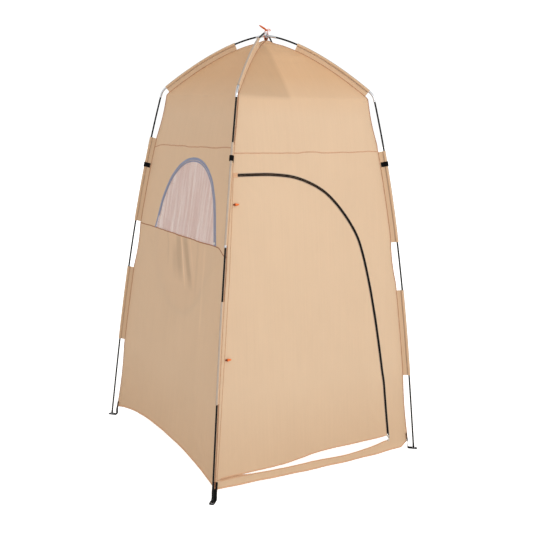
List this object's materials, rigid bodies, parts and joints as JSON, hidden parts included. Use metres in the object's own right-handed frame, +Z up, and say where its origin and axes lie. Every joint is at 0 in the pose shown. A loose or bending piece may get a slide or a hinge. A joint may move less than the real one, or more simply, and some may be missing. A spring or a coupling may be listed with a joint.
{
  "type": "privacy shower tent",
  "caption": "Freestanding pop-up shower and changing tent: two sprung poles crossing over a tapered square canopy with a zipped door and a mesh window with an inner flap.",
  "frame": {"origin": "on the floor under the peak, at the centre of the square of the four feet", "axes": "+Z up, -Y out of the front wall with the door, -X out of the window wall"},
  "size_m": [1.2408, 1.2408, 2.1409],
  "materials": {
    "canopy": "plain-woven coated polyester, tan",
    "fibreglass": "black fibreglass",
    "steel_tube": "bare bent steel tube",
    "elastic_cord": "covered elastic",
    "webbing": "black woven webbing",
    "zip_chain": "black coil on black tape",
    "zip_metal": "pale coated zip slider",
    "zip_tape": "grey-blue zip tape",
    "mesh": "fine insect mesh",
    "toggle": "orange toggle on orange cord",
    "tie_cord": "orange braided cord",
    "loop_tape": "dark brown tape"
  },
  "bodies": {
    "tent": {"apex_loop": "loop_tape", "apex_tie_cord": "tie_cord", "apex_tube_over": "steel_tube", "apex_tube_under": "steel_tube", "back_wall": "canopy", "corner_sleeve_bl": "canopy", "corner_sleeve_br": "canopy", "corner_sleeve_fl": "canopy", "corner_sleeve_fr": "canopy", "corner_strap_bl": "webbing", "corner_strap_br": "webbing", "corner_strap_fl": "webbing", "corner_strap_fr": "webbing", "door_zip_frame_side": "zip_chain", "front_wall_frame": "canopy", "left_lower_panel": "canopy", "left_window_panel": "canopy", "leg_bl_lower": "fibreglass", "leg_bl_middle": "fibreglass", "leg_bl_upper": "fibreglass", "leg_br_lower": "fibreglass", "leg_br_middle": "fibreglass", "leg_br_upper": "fibreglass", "leg_fl_lower": "fibreglass", "leg_fl_middle": "fibreglass", "leg_fl_upper": "fibreglass", "leg_fr_lower": "fibreglass", "leg_fr_middle": "fibreglass", "leg_fr_upper": "fibreglass", "pole_strap_bl": "webbing", "pole_strap_br": "webbing", "pole_strap_fl": "webbing", "pole_strap_fr": "webbing", "right_wall": "canopy", "roof_panel_back": "canopy", "roof_panel_front": "canopy", "roof_panel_left": "canopy", "roof_panel_right": "canopy", "roof_rod_bl": "fibreglass", "roof_rod_br": "fibreglass", "roof_rod_fl": "fibreglass", "roof_rod_fr": "fibreglass", "shock_cord_over": "elastic_cord", "shock_cord_under": "elastic_cord", "shoulder_elbow_bl": "steel_tube", "shoulder_elbow_br": "steel_tube", "shoulder_elbow_fl": "steel_tube", "shoulder_elbow_fr": "steel_tube", "window_mesh": "mesh", "window_zip": "zip_tape"},
    "door": {"door_panel": "canopy", "door_zip_door_side": "zip_chain"},
    "window_flap_body": {"window_flap": "canopy"},
    "door_slider_body": {"door_slider": "zip_metal"},
    "door_pull_body": {"door_slider_pull": "zip_metal"},
    "window_slider_body": {"window_slider": "zip_metal"},
    "door_toggle_upper_body": {"door_toggle_upper": "toggle"},
    "door_toggle_lower_body": {"door_toggle_lower": "toggle"},
    "window_toggle_left_body": {"window_toggle_left": "toggle"},
    "window_toggle_right_body": {"window_toggle_right": "toggle"}
  },
  "joints": [
    {"name": "door_hinge", "type": "hinge", "parent": "tent", "child": "door", "pos_m": [-0.56231, -0.58481, 0.088], "axis": [-0.1039, -0.1058, -0.9889], "range_deg": [0, 95]},
    {"name": "window_flap_hinge", "type": "hinge", "parent": "tent", "child": "window_flap_body", "pos_m": [-0.46375, 0, 1.11], "axis": [0, -1, 0], "range_deg": [0, 175]},
    {"name": "door_slider_run", "type": "slide", "parent": "tent", "child": "door_slider_body", "axis": [-0.0962, 0.0831, 0.9919], "range_m": [0, 0.26]},
    {"name": "door_pull_hinge", "type": "hinge", "parent": "door_slider_body", "child": "door_pull_body", "pos_m": [0.44425, -0.57751, 0.08926], "axis": [-0.9954, -0.008, -0.0959], "range_deg": [0, 150]},
    {"name": "window_slider_run", "type": "slide", "parent": "tent", "child": "window_slider_body", "axis": [0.1241, 0.2663, 0.9559], "range_m": [0, 0.1]},
    {"name": "door_toggle_upper_hinge", "type": "hinge", "parent": "door", "child": "door_toggle_upper_body", "pos_m": [-0.43207, -0.455, 1.313], "axis": [0, 0.9917, -0.1288], "range_deg": [-30, 30]},
    {"name": "door_toggle_lower_hinge", "type": "hinge", "parent": "door", "child": "door_toggle_lower_body", "pos_m": [-0.50385, -0.53374, 0.63], "axis": [0, 0.9956, -0.0941], "range_deg": [-30, 30]},
    {"name": "window_toggle_left_hinge", "type": "hinge", "parent": "tent", "child": "window_toggle_left_body", "pos_m": [-0.46328, 0.126, 1.156], "axis": [0.9917, 0, -0.1288], "range_deg": [-60, 60]},
    {"name": "window_toggle_right_hinge", "type": "hinge", "parent": "tent", "child": "window_toggle_right_body", "pos_m": [-0.46328, -0.197, 1.156], "axis": [0.9917, 0, -0.1288], "range_deg": [-60, 60]}
  ]
}
